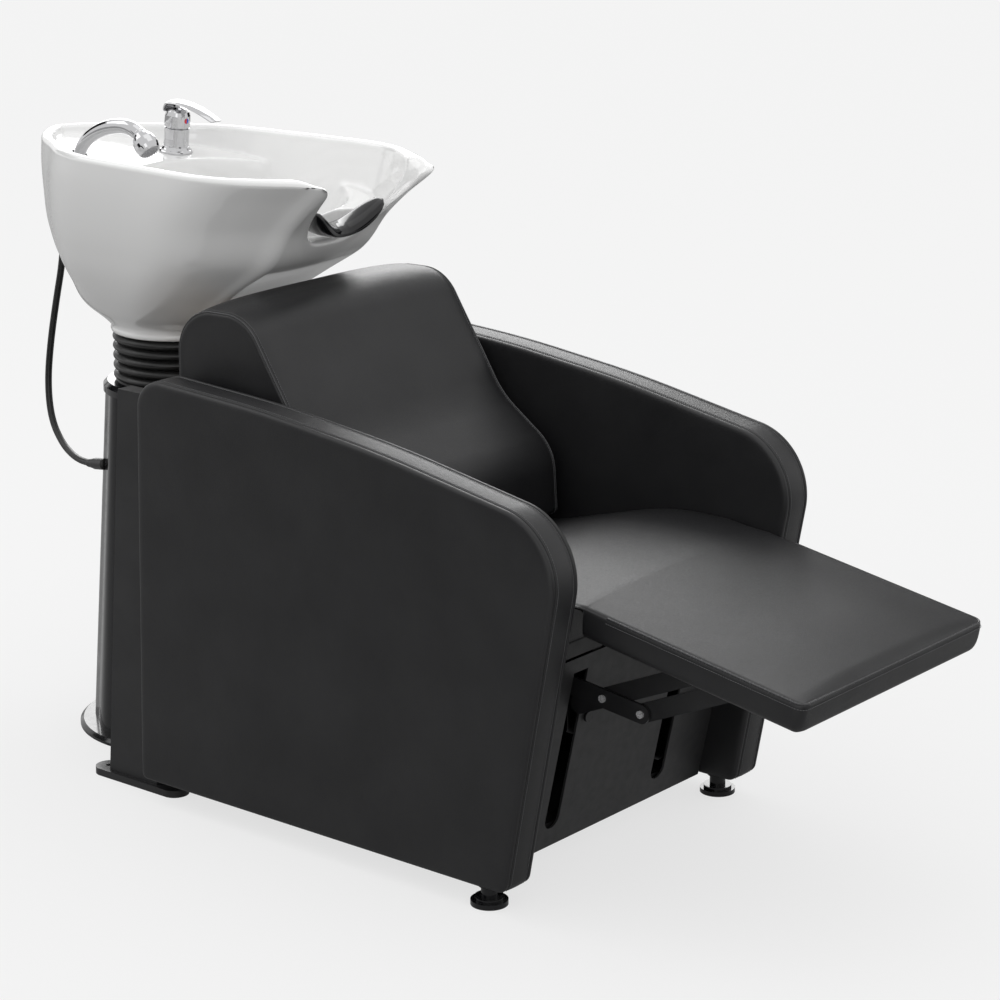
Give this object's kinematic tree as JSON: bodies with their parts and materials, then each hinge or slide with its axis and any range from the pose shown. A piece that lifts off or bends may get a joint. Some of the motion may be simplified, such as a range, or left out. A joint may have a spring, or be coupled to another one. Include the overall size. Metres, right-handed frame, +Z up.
{
  "type": "hair washing bed",
  "caption": "Salon backwash chair with padded arms, a folding legrest on links, and a tilting ceramic basin with mixer tap and hand shower on a pedestal.",
  "frame": {"origin": "on the floor, at the centre of the column's base flange", "axes": "+Z up, +Y from the legrest toward the basin, +X to the sitter's left"},
  "size_m": [0.66, 1.7459, 1.0791],
  "materials": {
    "black_leather": "soft sheen",
    "core_wood": "raw",
    "black_steel": "satin",
    "bright_steel": "bright",
    "gloss_black": "gloss",
    "white_ceramic": "gloss",
    "polished_chrome": "mirror",
    "black_rubber": "satin",
    "grey_plastic": "matte",
    "marker_red": "gloss"
  },
  "bodies": {
    "frame": {"base_flange": "gloss_black", "column_tube": "black_steel", "column_cover_front": "gloss_black", "column_cover_rear": "gloss_black", "column_cap": "gloss_black", "tilt_yoke": "black_steel", "bellows": "black_rubber", "hose_grommet": "black_rubber", "waste_pipe": "grey_plastic", "waste_hose": "grey_plastic", "shower_hose": "black_rubber", "rear_beams": "black_steel", "rear_post_left": "black_steel", "rear_post_right": "black_steel", "foot_plates": "black_steel", "seat_frame": "black_steel", "seat_board": "core_wood", "seat_pad": "black_leather", "arm_band_left": "black_leather", "arm_band_right": "black_leather", "arm_core_left": "core_wood", "arm_core_right": "core_wood", "arm_panels_left": "black_leather", "arm_panels_right": "black_leather", "arm_bolts": "bright_steel", "back_board": "core_wood", "back_cushion": "black_leather", "front_panel": "black_steel", "panel_frame": "black_steel", "panel_screws": "bright_steel", "shaft_bearings": "black_steel", "friction_hub": "gloss_black"},
    "legrest": {"legrest_board": "core_wood", "legrest_pad": "black_leather", "legrest_rails": "black_steel", "legrest_pins": "bright_steel"},
    "lift": {"lift_frame": "black_steel", "lift_pins": "bright_steel"},
    "cross_link_left": {"cross_link_left": "black_steel"},
    "cross_link_right": {"cross_link_right": "black_steel"},
    "strut_link_left": {"strut_link_left": "black_steel"},
    "strut_link_right": {"strut_link_right": "black_steel"},
    "basin": {"basin": "white_ceramic", "basin_bracket": "black_steel", "tilt_pins": "bright_steel", "neck_rest": "gloss_black", "drain_body": "polished_chrome", "drain_strainer": "polished_chrome", "hose_gland": "black_rubber", "tap_flange": "polished_chrome", "tap_body": "polished_chrome", "shower_socket": "polished_chrome"},
    "mixer": {"mixer_cap": "polished_chrome", "temperature_marker": "marker_red"},
    "lever": {"mixer_lever": "polished_chrome"},
    "hand_shower": {"shower_handle": "polished_chrome", "shower_head": "polished_chrome", "spray_face": "grey_plastic"},
    "foot_left": {"levelling_foot_left": "gloss_black"},
    "foot_right": {"levelling_foot_right": "gloss_black"}
  },
  "joints": [
    {"name": "legrest_fold", "type": "hinge", "parent": "frame", "child": "legrest", "pos_m": [0, -1.058, 0.47], "axis": [1, 0, 0], "range_deg": [0, 93.3]},
    {"name": "lift_turn", "type": "hinge", "parent": "frame", "child": "lift", "pos_m": [0, -0.861, 0.383], "axis": [1, 0, 0], "range_deg": [0, 93.3]},
    {"name": "basin_tilt", "type": "hinge", "parent": "frame", "child": "basin", "pos_m": [0, 0, 0.655], "axis": [1, 0, 0], "range_deg": [-12, 0], "deforming": ["bellows", "waste_hose", "shower_hose"]},
    {"name": "mixer_turn", "type": "hinge", "parent": "basin", "child": "mixer", "pos_m": [0.085, 0.07288, 1.02969], "axis": [0, -0.1191, 0.9929], "range_deg": [-45, 45]},
    {"name": "lever_lift", "type": "hinge", "parent": "mixer", "child": "lever", "pos_m": [0.085, 0.07962, 1.0658], "axis": [-1, 0, 0], "range_deg": [0, 25]},
    {"name": "shower_pull", "type": "slide", "parent": "basin", "child": "hand_shower", "axis": [0, -0.1191, 0.9929], "range_m": [0, 0.12]},
    {"name": "foot_turn_left", "type": "hinge", "parent": "frame", "child": "foot_left", "pos_m": [0.2975, -0.928, 0], "axis": [0, 0, 1], "continuous": true},
    {"name": "foot_turn_right", "type": "hinge", "parent": "frame", "child": "foot_right", "pos_m": [-0.2975, -0.928, 0], "axis": [0, 0, 1], "continuous": true},
    {"name": "cross_turn_left", "type": "hinge", "parent": "lift", "child": "cross_link_left", "pos_m": [0, -1.021, 0.305], "axis": [1, 0, 0], "range_deg": [-93.3, 0]},
    {"name": "strut_turn_left", "type": "hinge", "parent": "lift", "child": "strut_link_left", "pos_m": [0, -1.092, 0.296], "axis": [1, 0, 0], "range_deg": [-93.3, 0]},
    {"name": "cross_turn_right", "type": "hinge", "parent": "lift", "child": "cross_link_right", "pos_m": [0, -1.021, 0.305], "axis": [1, 0, 0], "range_deg": [-93.3, 0]},
    {"name": "strut_turn_right", "type": "hinge", "parent": "lift", "child": "strut_link_right", "pos_m": [0, -1.092, 0.296], "axis": [1, 0, 0], "range_deg": [-93.3, 0]}
  ],
  "couplings": [
    {"joint": "lift_turn", "follows": "legrest_fold", "ratio": 1},
    {"joint": "cross_turn_left", "follows": "legrest_fold", "ratio": -1},
    {"joint": "strut_turn_left", "follows": "legrest_fold", "ratio": -1},
    {"joint": "cross_turn_right", "follows": "legrest_fold", "ratio": -1},
    {"joint": "strut_turn_right", "follows": "legrest_fold", "ratio": -1}
  ]
}
